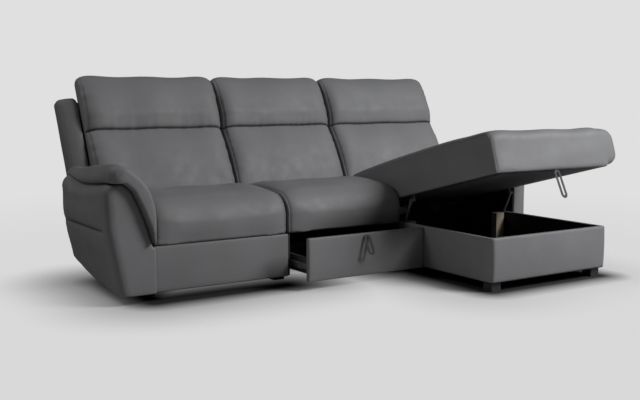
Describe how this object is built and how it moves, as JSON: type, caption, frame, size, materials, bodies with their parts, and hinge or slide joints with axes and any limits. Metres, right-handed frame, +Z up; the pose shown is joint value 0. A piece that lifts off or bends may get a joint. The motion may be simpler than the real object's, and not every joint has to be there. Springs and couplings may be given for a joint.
{
  "type": "chaise sofa",
  "caption": "Grey leather corner sofa with an under-seat drawer and a chaise whose cushioned lid tilts up on struts over a storage box.",
  "frame": {"origin": "on the floor, below the middle of the whole part's width and depth as it stands with the lid open", "axes": "+X along the sofa from the arm to the chaise, +Y towards the back, +Z up"},
  "size_m": [2.486, 1.6432, 1.0094],
  "materials": {
    "grey_leather": "satin",
    "pale_timber": "matte",
    "black_lining": "matte",
    "brown_board": "satin",
    "zinc_steel": "satin",
    "bright_rod": "polished",
    "grey_enamel": "satin",
    "black_plastic": "matte",
    "black_cloth": "matte",
    "webbing": "matte"
  },
  "bodies": {
    "sofa_frame": {"arm_front_board": "pale_timber", "arm_front_cover": "grey_leather", "arm_outer_cover": "grey_leather", "arm_pad": "grey_leather", "arm_rails": "pale_timber", "arm_rear_board": "pale_timber", "back_cushion_left": "grey_leather", "back_cushion_middle": "grey_leather", "back_cushion_right": "grey_leather", "back_lower_rails": "pale_timber", "back_rear_cover": "grey_leather", "back_top_rail": "pale_timber", "back_uprights": "pale_timber", "back_webbing": "webbing", "base_bottom_panel": "black_cloth", "base_left_board": "black_lining", "base_rear_board": "black_lining", "bay_left_board": "black_lining", "bay_right_board": "black_lining", "chaise_back_rail": "pale_timber", "chaise_bulkhead": "black_lining", "chaise_cover": "grey_leather", "chaise_floor": "black_lining", "chaise_front_board": "black_lining", "chaise_left_board": "black_lining", "chaise_rear_board": "pale_timber", "chaise_right_board": "black_lining", "feet": "black_plastic", "front_board": "pale_timber", "front_cover": "grey_leather", "hinge_fixed_leaves": "zinc_steel", "module_spacers": "black_lining", "runner_outer": "zinc_steel", "seat_cushion_left": "grey_leather", "seat_cushion_middle": "grey_leather", "seat_front_rail": "black_lining", "seat_rear_rail": "black_lining", "seat_springs": "zinc_steel", "side_panel_board": "black_lining", "side_panel_cover": "grey_leather", "strut_lower_brackets": "grey_enamel", "strut_posts": "pale_timber", "wing_board": "pale_timber", "wing_pad": "grey_leather"},
    "chaise_lid": {"lid_board": "black_lining", "lid_cushion": "grey_leather", "lid_dust_cloth": "black_cloth", "hinge_moving_leaves": "zinc_steel", "strut_upper_brackets": "grey_enamel"},
    "strut_rods": {"strut_rods": "bright_rod"},
    "strut_cylinders": {"strut_cylinders": "grey_enamel"},
    "drawer": {"drawer_front_board": "pale_timber", "drawer_front_cover": "grey_leather", "drawer_sides": "brown_board", "drawer_back": "brown_board", "drawer_bottom": "brown_board", "runner_inner": "zinc_steel"},
    "runner_middle": {"runner_middle": "zinc_steel"},
    "drawer_pull": {"drawer_pull": "grey_leather"},
    "lid_pull": {"lid_pull": "grey_leather"}
  },
  "joints": [
    {"name": "lid_hinge", "type": "hinge", "parent": "sofa_frame", "child": "chaise_lid", "pos_m": [0.7545, 0.415, 0.262], "axis": [-1, 0, 0], "range_deg": [-14.3, 0]},
    {"name": "strut_swing", "type": "hinge", "parent": "sofa_frame", "child": "strut_rods", "pos_m": [0.7545, 0.025, 0.09], "axis": [-1, 0, 0], "range_deg": [-17.8, 0.1]},
    {"name": "strut_extend", "type": "slide", "parent": "strut_rods", "child": "strut_cylinders", "axis": [0, -0.4211, 0.907], "range_m": [-0.105, 0.0005]},
    {"name": "drawer_slide", "type": "slide", "parent": "sofa_frame", "child": "drawer", "axis": [0, -1, 0], "range_m": [-0.1795, 0.17]},
    {"name": "runner_middle_slide", "type": "slide", "parent": "sofa_frame", "child": "runner_middle", "axis": [0, -1, 0], "range_m": [-0.09, 0.086]},
    {"name": "drawer_pull_swing", "type": "hinge", "parent": "drawer", "child": "drawer_pull", "pos_m": [0.0075, -0.2564, 0.244], "axis": [-1, 0, 0], "range_deg": [-22, 60]},
    {"name": "lid_pull_swing", "type": "hinge", "parent": "chaise_lid", "child": "lid_pull", "pos_m": [0.7595, -0.75681, 0.55956], "axis": [-1, 0, 0], "range_deg": [-20, 50]}
  ],
  "couplings": [
    {"joint": "strut_swing", "follows": "lid_hinge", "ratio": 1.233},
    {"joint": "strut_extend", "follows": "lid_hinge", "m_per_rad": 0.41848},
    {"joint": "runner_middle_slide", "follows": "drawer_slide", "ratio": 0.5}
  ]
}
